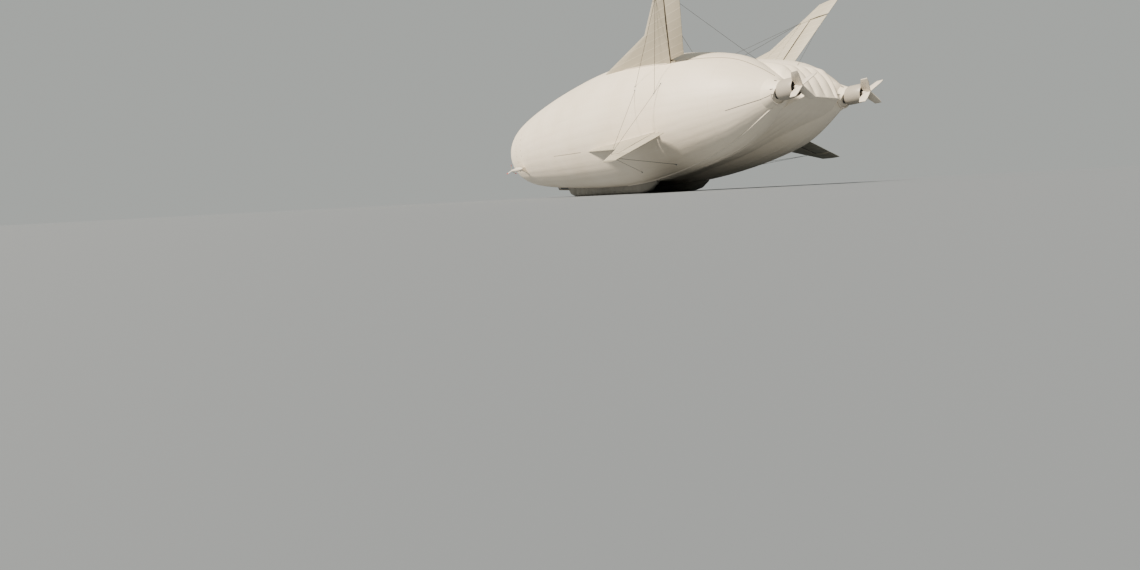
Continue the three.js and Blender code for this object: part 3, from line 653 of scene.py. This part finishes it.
# Straps, seams and creases on the hull, through stops of y and angle
skinLines = {
    "straps": {
        "runs": [[(89.4, -62), (86, -68), (80, -75), (73.4, -79.5), (64, -83), (56, -84)]],
        "radius": 0.11, "finish": "tape",
    },
    # painted shade: the ridge seam takes the darker thread colour for the shade of the step below it
    "ridge": {"runs": [[(77, 55), (82, 62), (86, 69), (89.2, 77)]], "radius": 0.06, "finish": "stitch"},
    "sideLine": {"runs": [[(41.6, -21), (53.5, -23)]], "radius": 0.045, "finish": "stitch"},
    "bellyCreases": {
        "runs": [[(86, -95), (76, -93), (62, -90)], [(84, -108), (74, -103), (60, -98)]],
        "radius": 0.035, "finish": "tape",
    },
}
# small lashing patches round the bow: rows of y, first and last angle and count; the most they slant, and how
# that varies from each to the next, in radians
bowPatches = {
    "rows": [(16.0, (-26, 17), 6), (20.6, (-10, 21), 5)], "size": (0.42, 0.16, 0.03), "slant": (0.5, 3.7),
}
# where the stays meet the skin: a pad and a lug at each y and angle
stayFeet = {
    "places": [
        (69.7, 25.8), (74.2, 15.6), (67.2, 95.7), (72.1, 98.4), (69.9, 22.1), (75, 24.7), (66, -60.8),
        (73.6, -65.1),
    ],
    "stayPads": {
        "radius": 0.34, "thick": 0.02, "lift": 0, "corners": 24, "finish": "tape", "slot": "hull_fabric",
    },
    "stayLugs": {
        "radius": 0.09, "thick": 0.12, "lift": 0.03, "corners": 12, "finish": "steel", "slot": "stay_wire",
    },
    "taper": 0.9,
}


def buildSkinDetail(side, sign):
    for name, line in skinLines.items():
        runs = [hullPath(stops, sign) for stops in line["runs"]]
        tubeAlong(f"{name}_{side}", runs, line["radius"], line["finish"])
    bm = bmesh.new()
    size = Matrix.Diagonal((*(Vector(bowPatches["size"]) * model["metre"]), 1))
    most, vary = bowPatches["slant"]
    for y, ends, count in bowPatches["rows"]:
        for i in range(count):
            slant = Matrix.Rotation(most * math.sin(vary * i), 4, "Z")
            place = hullFrame(y, between(ends, i / (count - 1)), sign)
            bmesh.ops.create_cube(bm, size=1, matrix=place @ slant @ size)
    finishPiece(f"bowLashings_{side}", bm, "stitch")
    for name in ("stayPads", "stayLugs"):
        disc = stayFeet[name]
        radius, thick = disc["radius"] * model["metre"], disc["thick"] * model["metre"]
        bm = bmesh.new()
        for y, angle in stayFeet["places"]:
            bmesh.ops.create_cone(
                bm, cap_ends=True, segments=disc["corners"], radius1=radius, depth=thick,
                radius2=radius * stayFeet["taper"], matrix=hullFrame(y, angle, sign, disc["lift"]),
            )
        finishPiece(f"{name}_{side}", bm, disc["finish"])


for side, sign in sides.items():
    buildSkinDetail(side, sign)
for nodeName in cadNodes:
    if nodeName.startswith("stays"):
        coatNode(nodeName, "steel")
print("lines, patches and stays")


# A line from the trailing edge of each upper flap to the hull: from y and reach on the flap to y and angle
# on the hull
flapLine = {"level": "upper", "flap": (80, 15.2), "hull": (84.5, 112), "radius": 0.022, "steps": 12}
for side, sign in sides.items():
    level = flapLine["level"]
    top = finPoint(fins[level], *flapLine["flap"], sign)
    end = onHull(*flapLine["hull"], sign)
    run = [top.lerp(end, i / flapLine["steps"]) for i in range(flapLine["steps"] + 1)]
    line = tubeAlong(f"flapLine_{level}_{side}", [run], flapLine["radius"], "steel", None)
    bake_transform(line)
print("flap lines")


# Forward propulsors, with their shafts at x, y and z; the cowl's rows and the rest are measured from there
pod = {
    "x": 16.15, "y": 19.6, "z": -4.65,
    "cowl": [
        (-5.3, 0.2), (-4.6, 0.27), (-3.4, 0.34), (-2, 0.48), (-0.6, 0.52), (0.7, 0.48), (1.8, 0.28),
        (2.3, 0.02),
    ],
    "cowlSteps": 8,
    "corners": 48,
    # grooves where the cowl's panels join: half width at the top, the share of it at the bottom, depth
    "joints": (-4.2, -1.6, 1.0), "joint": {"half": 0.035, "floor": 0.6, "depth": 0.02},
    "stub": {"from": 15.554, "radius": 0.26, "corners": 32},
    "scoop": {"y": -1.3, "rise": 0.5, "size": (0.36, 0.7, 0.22), "bevel": 0.06, "bevelSteps": 3},
    "exhaust": {
        "in": 0.18, "y": 0.2, "z": -0.42, "radii": (0.13, 0.104), "length": 0.8, "tilt": 80, "corners": 20,
    },
    "sharp": 35,
    "propellerBevel": 0.012,
    "pylonBevel": 0.12, "pylonSharp": 20,
    "tipFrom": 1.184,
}
# composite blades in light grey with red tips: soft gloss, a little grime
finishes["blade"] = bladePaint(
    "lightBladePaint", "#CFCBC1", "#D8352B", 0.4, modelPoint(pod["x"], pod["y"], pod["z"]),
    pod["tipFrom"] * model["metre"],
)


def buildNacelle(side, sign):
    bm = bmesh.new()
    cowl = [tuple(p) for p in splineThrough(pod["cowl"], pod["cowlSteps"])]
    joint = pod["joint"]
    rows = [row for row in cowl if min(abs(row[0] - y) for y in pod["joints"]) > joint["half"]]
    for middle in pod["joints"]:
        for step in (-1, -joint["floor"], joint["floor"], 1):
            y = middle + step * joint["half"]
            rows.append((y, radiusAt(cowl, y) - (joint["depth"] if abs(step) < 1 else 0)))
    rows = [(cowl[0][0], 0)] + sorted(rows) + [(cowl[-1][0], 0)]
    turnRows(bm, [(pod["y"] + y, radius) for y, radius in rows], (pod["x"], pod["z"]), pod["corners"])
    stub = pod["stub"]
    spot = Matrix.Translation(((stub["from"] + pod["x"]) / 2, pod["y"], pod["z"]))
    bmesh.ops.create_cone(
        bm, cap_ends=True, segments=stub["corners"], radius1=stub["radius"], radius2=stub["radius"],
        depth=pod["x"] - stub["from"], matrix=spot @ Matrix.Rotation(math.pi / 2, 4, "Y"),
    )
    scoop = pod["scoop"]
    spot = Matrix.Translation((pod["x"], pod["y"] + scoop["y"], pod["z"] + scoop["rise"]))
    made = bmesh.ops.create_cube(bm, size=1, matrix=spot @ Matrix.Diagonal((*scoop["size"], 1)))
    edges = list({e for v in made["verts"] for e in v.link_edges})
    bmesh.ops.bevel(
        bm, geom=edges, offset=scoop["bevel"], segments=scoop["bevelSteps"], profile=0.5, affect="EDGES",
        material=-1,
    )
    toModel(bm, sign)
    nacelle = f"nacelle_{side}"  # the name of its body and of its CAD node
    finishPiece(f"nacelleCowl_{side}", bm, "composite", pod["sharp"], nacelle, (nacelle,))
    pipe = pod["exhaust"]
    bm = bmesh.new()
    spot = Matrix.Translation((pod["x"] - pipe["in"], pod["y"] + pipe["y"], pod["z"] + pipe["z"]))
    bmesh.ops.create_cone(
        bm, cap_ends=True, segments=pipe["corners"], radius1=pipe["radii"][0], radius2=pipe["radii"][1],
        depth=pipe["length"], matrix=spot @ Matrix.Rotation(math.radians(pipe["tilt"]), 4, "X"),
    )
    toModel(bm, sign)
    finishPiece(f"exhaust_{side}", bm, "darkFrame", pod["sharp"], nacelle)


for side, sign in sides.items():
    buildNacelle(side, sign)
    dressNode(f"propeller_{side}", "blade", pod["propellerBevel"])
    dressNode(f"pylon_{side}", "composite", pod["pylonBevel"], pod["pylonSharp"])
print("forward propulsors")


# Aft propulsors: a duct, its hub and its struts, with their shaft at x and z and measured aft from its front
duct = {
    "x": 6.95, "z": -0.15, "front": 90.75,
    "shell": [
        (0, 1.1), (0, 1.19), (0.1, 1.25), (0.35, 1.28), (0.9675, 1.275), (1.6125, 1.25), (2.1, 1.155),
        (2.15, 1.13), (2.15, 1.09), (1.505, 1.06), (0.5, 1.04), (0, 1.1),
    ],
    "shellCorners": 96,
    # faces closer to the shaft than this get painted shade
    "paintedShadeWithin": 1.098,
    "hub": [(0, 0), (0, 0.21), (0.08, 0.285), (0.2, 0.3), (0.6, 0.3), (0.6, 0)],
    "hubCorners": 32,
    "strut": {"count": 4, "y": 0.3, "from": 0.15, "to": 1.12, "thick": 0.1, "chord": 0.36},
    "sharp": 32, "fanBevel": 0.01, "vaneBevel": 0.02,
}
# The fabric collar that carries a duct: rows of y, x, z and radius
collar = {
    "rows": [
        (88.2, 6.3, -0.2, 2.4), (89.2, 6.55, -0.18, 2.02), (90.1, 6.85, -0.15, 1.48),
        (90.746, 6.95, -0.15, 1.16),
    ],
    "steps": 6,
    "corners": 96,
    # the wedge that stays open between the collar and the duct below: its plane's place and slope
    "wedge": {"y": 90.745, "rise": 0.25, "slope": -0.48},
    "drum": {"from": 89.6, "to": 90.746, "radius": 0.94, "corners": 48},
    "slots": {"y": 90.2, "angles": (8, 62, 118, 172), "size": (0.08, 0.36, 0.1), "lean": 26},
    "cradle": {"y": 90.15, "angles": (-168, -12), "steps": 24, "lift": 0.08, "radius": 0.075},
    # the cable along the flank: stops on the hull, then places along the collar, at an angle up from outboard
    "cable": {
        "hull": [(85.1, -18.5), (88.7, -16.8)], "along": (88.9, 89.4, 89.9, 90.3, 90.74), "angle": -19,
        "radius": 0.035,
    },
    "sharp": 40,
}


def buildDuct(side, sign):
    shaft = (duct["x"], duct["z"])
    bm = bmesh.new()
    turnRows(bm, [(duct["front"] + y, radius) for y, radius in duct["shell"]], shaft, duct["shellCorners"])
    # painted shade: the inside of the duct is coloured dark grey-brown
    for face in bm.faces:
        reach = (face.calc_center_median().xz - Vector(shaft)).length
        face.material_index = 1 if reach < duct["paintedShadeWithin"] else 0
    shell = set(bm.faces)
    turnRows(bm, [(duct["front"] + y, radius) for y, radius in duct["hub"]], shaft, duct["hubCorners"])
    strut = duct["strut"]
    size = Matrix.Diagonal((strut["thick"], strut["chord"], strut["to"] - strut["from"], 1))
    for i in range(strut["count"]):
        spot = Matrix.Translation((duct["x"], duct["front"] + strut["y"], duct["z"]))
        turn = Matrix.Rotation(math.tau * (i + 0.5) / strut["count"], 4, "Y")
        out = Matrix.Translation((0, 0, (strut["from"] + strut["to"]) / 2))
        bmesh.ops.create_cube(bm, size=1, matrix=spot @ turn @ out @ size)
    # painted shade: the hub and the struts are coloured dark grey-brown as well
    for face in set(bm.faces) - shell:
        face.material_index = 1
    toModel(bm, sign)
    look = ("ductCoat", "paintedShade")
    finishPiece(f"ductShell_{side}", bm, look, duct["sharp"], replaces=(f"duct_{side}",))


def collarRow(y):
    rows = collar["rows"]
    for start, end in zip(rows, rows[1:]):
        if y <= end[0]:
            return Vector(start).lerp(Vector(end), (y - start[0]) / (end[0] - start[0]))
    return Vector(rows[-1])


def buildCollar(side, sign):
    bm = bmesh.new()
    lay = Matrix.Rotation(math.pi / 2, 4, "X")
    made = bmesh.ops.create_circle(bm, cap_ends=True, radius=1, segments=collar["corners"], matrix=lay)
    ring, last = made["verts"], Vector((0, 0, 0, 1))
    for i, (y, x, z, radius) in enumerate(splineThrough(collar["rows"], collar["steps"])):
        if i:
            edges = [e for e in bm.edges if all(v in ring for v in e.verts)]
            made = bmesh.ops.extrude_edge_only(bm, edges=edges)
            ring = [e for e in made["geom"] if isinstance(e, bmesh.types.BMVert)]
        for vert in ring:
            out = (vert.co - last.xyz) / last.w
            vert.co = Vector((x + out.x * radius, y, z + out.z * radius))
        last = Vector((x, y, z, radius))
    bmesh.ops.contextual_create(bm, geom=ring)
    wedge = collar["wedge"]
    cutAway(bm, (duct["x"], wedge["y"], duct["z"] + wedge["rise"]), (0, 1, wedge["slope"]))
    gores = bm.loops.layers.uv.new("gores")
    for face in bm.faces:
        for loop in face.loops:
            loop[gores].uv = (0.5, loop.vert.co.y * model["metre"])
    toModel(bm, sign)
    node = f"duct_mount_{side}"
    finishPiece(f"collarSkin_{side}", bm, "hull", collar["sharp"], replaces=(node,))


# The drum inside a collar, its slots, the cradle round it and the cable that runs to the duct.
def buildCollarDetail(side, sign):
    # painted shade: the drum is near black, so the open wedge below the duct reads dark
    drum = collar["drum"]
    bm = bmesh.new()
    rows = [(drum["from"], 0)] + [(drum[end], drum["radius"]) for end in ("from", "to")] + [(drum["to"], 0)]
    turnRows(bm, rows, (duct["x"], duct["z"]), drum["corners"])
    toModel(bm, sign)
    finishPiece(f"ductShadeDrum_{side}", bm, "darkFrame", collar["sharp"])
    # painted shade: near-black boxes stand for the shade inside the collar's slots
    slots = collar["slots"]
    bm = bmesh.new()
    _, x, z, radius = collarRow(slots["y"])
    for angle in slots["angles"]:
        turn = Matrix.Rotation(math.radians(-angle), 4, "Y") @ Matrix.Translation((radius, 0, 0))
        lean = Matrix.Rotation(math.radians(slots["lean"]), 4, "Z") @ Matrix.Diagonal((*slots["size"], 1))
        bmesh.ops.create_cube(bm, size=1, matrix=Matrix.Translation((x, slots["y"], z)) @ turn @ lean)
    toModel(bm, sign)
    finishPiece(f"collarSlots_{side}", bm, "darkFrame")
    cradle = collar["cradle"]
    _, x, z, radius = collarRow(cradle["y"])
    arc = []
    for i in range(cradle["steps"] + 1):
        turn = math.radians(between(cradle["angles"], i / cradle["steps"]))
        reach = radius + cradle["lift"]
        out = sign * (x + reach * math.cos(turn))
        arc.append(modelPoint(out, cradle["y"], z + reach * math.sin(turn)))
    tubeAlong(f"cradle_{side}", [arc], cradle["radius"], "tape")
    cable = collar["cable"]
    path = hullPath(cable["hull"], sign)
    turn = math.radians(cable["angle"])
    for y, x, z, radius in map(collarRow, cable["along"]):
        path.append(modelPoint(sign * (x + radius * math.cos(turn)), y, z + radius * math.sin(turn)))
    tubeAlong(f"ductCable_{side}", [path], cable["radius"], "steel")


for side, sign in sides.items():
    buildDuct(side, sign)
    buildCollar(side, sign)
    buildCollarDetail(side, sign)
    dressNode(f"fan_{side}", "fan", duct["fanBevel"])
    dressNode(f"vanes_{side}", "composite", duct["vaneBevel"])
print("aft propulsors")


# Gondola: its own y and z start at the front end and the foot of its walls
gondola = {
    "y": 13, "z": -10.3, "pitch": -2.33, "half": 1.8, "height": 2.7, "proud": 0.03,
    "bevel": 0.02, "sideBevel": 0.01,
    # panes on each wall: y of each band, z of its foot and top, panes along and up, and the bar between them
    "bands": {"forward": (1.3, 14.9), "aft": (17.1, 31.3)}, "paneZ": (0.42, 1.6), "columns": 12, "rows": 2,
    "bar": 0.09,
    # the nose: how far it goes ahead, leans and narrows, and the shares of it that its side pane covers
    "nose": {"depth": 0.75, "lean": 0.63, "narrow": 0.86, "pane": (0.14, 0.88)},
    "skirt": {"y": (0.05, 31.95), "z": (0.3, 0.4), "columns": 12},
    "cabinRail": {
        "x": 1.81, "z": 1.68, "radius": 0.045, "finish": "tape", "runs": [(0.1, 15.2), (16.8, 31.9)],
    },
    "cabinKeel": {
        "x": 1.65, "z": 0.12, "radius": 0.05, "finish": "composite", "runs": [(0.1, 8, 16, 24, 31.9)],
    },
}
door = {
    "pane": {"x": 1.72, "y": (15.66, 16.34), "z": (0.91, 1.44)},
    "grip": {"x": 1.85, "y": (15.62, 15.8, 16.0), "z": 0.82, "radius": 0.025},
}
cabinTurn = Matrix.Rotation(math.radians(gondola["pitch"]), 4, "X")


def cabinPoint(x, y, z):
    place = cabinTurn @ Vector((x, y, z))
    return modelPoint(place.x, place.y + gondola["y"], place.z + gondola["z"])


# A map from shares along and up a flat wall to a place in the cabin.
def flatLay(x, ySpan, zSpan):
    return lambda along, up: (x, between(ySpan, along), between(zSpan, up))


# A sheet of cells, laid on a wall by such a map.
def wallSheet(lay, columns, rows):
    bm = bmesh.new()
    bmesh.ops.create_grid(bm, x_segments=columns, y_segments=rows, size=0.5)
    for vert in bm.verts:
        vert.co = cabinPoint(*lay(vert.co.x + 0.5, vert.co.y + 0.5))
    return bm


# Panes between bars.
def glazedPanel(name, lay, columns, rows):
    bm = wallSheet(lay, columns, rows)
    panes = bm.faces[:]
    bmesh.ops.recalc_face_normals(bm, faces=bm.faces)
    bmesh.ops.inset_individual(
        bm, faces=panes, thickness=gondola["bar"] / 2 * model["metre"], depth=0, use_even_offset=True
    )
    for face in panes:
        face.material_index = 1
    bmesh.ops.solidify(bm, geom=bm.faces[:], thickness=gondola["proud"] * model["metre"])
    finishPiece(name, bm, ("bar", "glass"))


def plainPanel(name, lay, columns, finish, body="airship"):
    bm = wallSheet(lay, columns, 1)
    bmesh.ops.solidify(bm, geom=bm.faces[:], thickness=gondola["proud"] * model["metre"])
    finishPiece(name, bm, finish, body=body)


def buildGondolaSide(side, sign):
    wall = gondola["half"] + gondola["proud"] / 2
    for band, span in gondola["bands"].items():
        lay = flatLay(sign * wall, span, gondola["paneZ"])
        glazedPanel(f"windows_{band}_{side}", lay, gondola["columns"], gondola["rows"])
    nose = gondola["nose"]

    def layNose(along, up):
        share, z = between(nose["pane"], along), between(gondola["paneZ"], up)
        x = gondola["half"] * (1 + (nose["narrow"] - 1) * share) + gondola["proud"]
        return sign * x, -share * (nose["depth"] + nose["lean"] * z / gondola["height"]), z

    glazedPanel(f"noseWindow_{side}", layNose, 1, 1)
    skirt = gondola["skirt"]
    lay = flatLay(sign * wall, skirt["y"], skirt["z"])
    plainPanel(f"cabinSkirt_{side}", lay, skirt["columns"], "darkFrame")
    for name in ("cabinRail", "cabinKeel"):
        line = gondola[name]
        runs = [[cabinPoint(sign * line["x"], y, line["z"]) for y in stops] for stops in line["runs"]]
        tubeAlong(f"{name}_{side}", runs, line["radius"], line["finish"])


def buildDoorDetail(side, sign):
    pane, grip = door["pane"], door["grip"]
    lay = flatLay(sign * pane["x"], pane["y"], pane["z"])
    plainPanel(f"doorPane_{side}", lay, 1, "glass", f"door_{side}")
    run = [cabinPoint(sign * grip["x"], y, grip["z"]) for y in grip["y"]]
    tubeAlong(f"doorGrip_{side}", [run], grip["radius"], "darkFrame", f"door_{side}")


for side, sign in sides.items():
    buildGondolaSide(side, sign)
    buildDoorDetail(side, sign)
    for part in ("gondola_wall", "gondola_door"):
        dressNode(f"{part}_{side}", "composite", gondola["sideBevel"])
    for band in gondola["bands"]:
        coatNode(f"glass_{band}_{side}", "glass")
for part in ("floor", "roof", "front", "bulkhead", "fairing"):
    dressNode(f"gondola_{part}", "composite", gondola["bevel"])
coatNode("windscreen", "glass")
print("gondola")


# Landing skids, with hoops of seams across them
skid = {
    "bevel": 0.25, "sharp": 20,
    "hoops": 11, "from": 33.5, "pitch": 2.5, "half": 0.3, "depth": 0.13, "cutNear": 1e-6,
}


# The cross seams of an inflated skid pull its cloth in.
def pullSeams(bm):
    for i in range(skid["hoops"]):
        y = skid["from"] + skid["pitch"] * i
        for step in (-1, 0, 1):
            bmesh.ops.bisect_plane(
                bm, geom=bm.verts[:] + bm.edges[:] + bm.faces[:], dist=skid["cutNear"],
                plane_co=modelPoint(0, y + step * skid["half"], 0), plane_no=(0, 1, 0),
            )
        ring = [v for v in bm.verts if abs(v.co.y - modelPoint(0, y, 0).y) < weld["piece"]]
        middle = sum((v.co for v in ring), Vector()) / len(ring)
        for vert in ring:
            vert.co += (middle - vert.co).normalized() * skid["depth"] * model["metre"]


for side in sides:
    dressNode(f"skid_{side}", "skid", skid["bevel"], skid["sharp"], pullSeams)
print("landing skids")


# Floor, light and camera
stage = {
    "floorRadius": 200,
    "floorCorners": 96,
    "floorHex": "#70767C",
    "floorRoughness": 0.9,
    "skyHex": "#DFE3DE",
    "skyStrength": 0.6,
    "sunWay": (0.74, 0.10, 0.60),
    "sunHex": "#FFF3E2",
    "sunStrength": 10.0,
    "sunAngle": 8,
}
camera = {
    "place": (5.869, 8.417, 0.03), "azimuth": -153.4, "elevation": -11.07, "roll": -3.0, "lens": 14.4,
    "sensor": 36, "near": 0.001, "far": 1000,
}


# A wide floor under a plain sky of its own brightness, so that no horizon stands out.
def buildStage():
    bm = bmesh.new()
    bmesh.ops.create_circle(
        bm, cap_ends=True, cap_tris=True, radius=stage["floorRadius"], segments=stage["floorCorners"]
    )
    mesh = bpy.data.meshes.new("studioFloor")
    bm.to_mesh(mesh)
    bm.free()
    floor = bpy.data.objects.new("studioFloor", mesh)
    bpy.context.scene.collection.objects.link(floor)
    # mat floor paint: plain, without gloss
    floor.data.materials.append(startMaterial("matFloorPaint", stage["floorHex"], stage["floorRoughness"])[0])
    world = bpy.data.worlds.new("studioWorld")
    world.use_nodes = True
    background = world.node_tree.nodes["Background"]
    background.inputs["Color"].default_value = linearColour(stage["skyHex"])
    background.inputs["Strength"].default_value = stage["skyStrength"]
    bpy.context.scene.world = world
    sun = bpy.data.objects.new("studioKey", bpy.data.lights.new("studioKey", "SUN"))
    sun.data.energy = stage["sunStrength"]
    sun.data.color = linearColour(stage["sunHex"])[:3]
    sun.data.angle = math.radians(stage["sunAngle"])
    sun.rotation_euler = Vector(stage["sunWay"]).to_track_quat("Z", "Y").to_euler()
    bpy.context.scene.collection.objects.link(sun)


def buildCamera():
    turn, lift, roll = (math.radians(camera[k]) for k in ("azimuth", "elevation", "roll"))
    ahead = Vector((math.cos(lift) * math.sin(turn), math.cos(lift) * math.cos(turn), math.sin(lift)))
    right = ahead.cross(Vector((0, 0, 1))).normalized()
    up = right.cross(ahead)
    rolledRight = right * math.cos(roll) + up * math.sin(roll)
    rolledUp = up * math.cos(roll) - right * math.sin(roll)
    eye = bpy.data.objects.new("photoCamera", bpy.data.cameras.new("photoCamera"))
    eye.data.sensor_fit = "HORIZONTAL"
    eye.data.sensor_width = camera["sensor"]
    eye.data.lens = camera["lens"]
    eye.data.clip_start = camera["near"]
    eye.data.clip_end = camera["far"]
    axes = Matrix((rolledRight, rolledUp, -ahead)).transposed().to_4x4()
    eye.matrix_world = Matrix.Translation(camera["place"]) @ axes
    bpy.context.scene.collection.objects.link(eye)
    bpy.context.scene.camera = eye


buildStage()
buildCamera()
print("floor, light and camera")
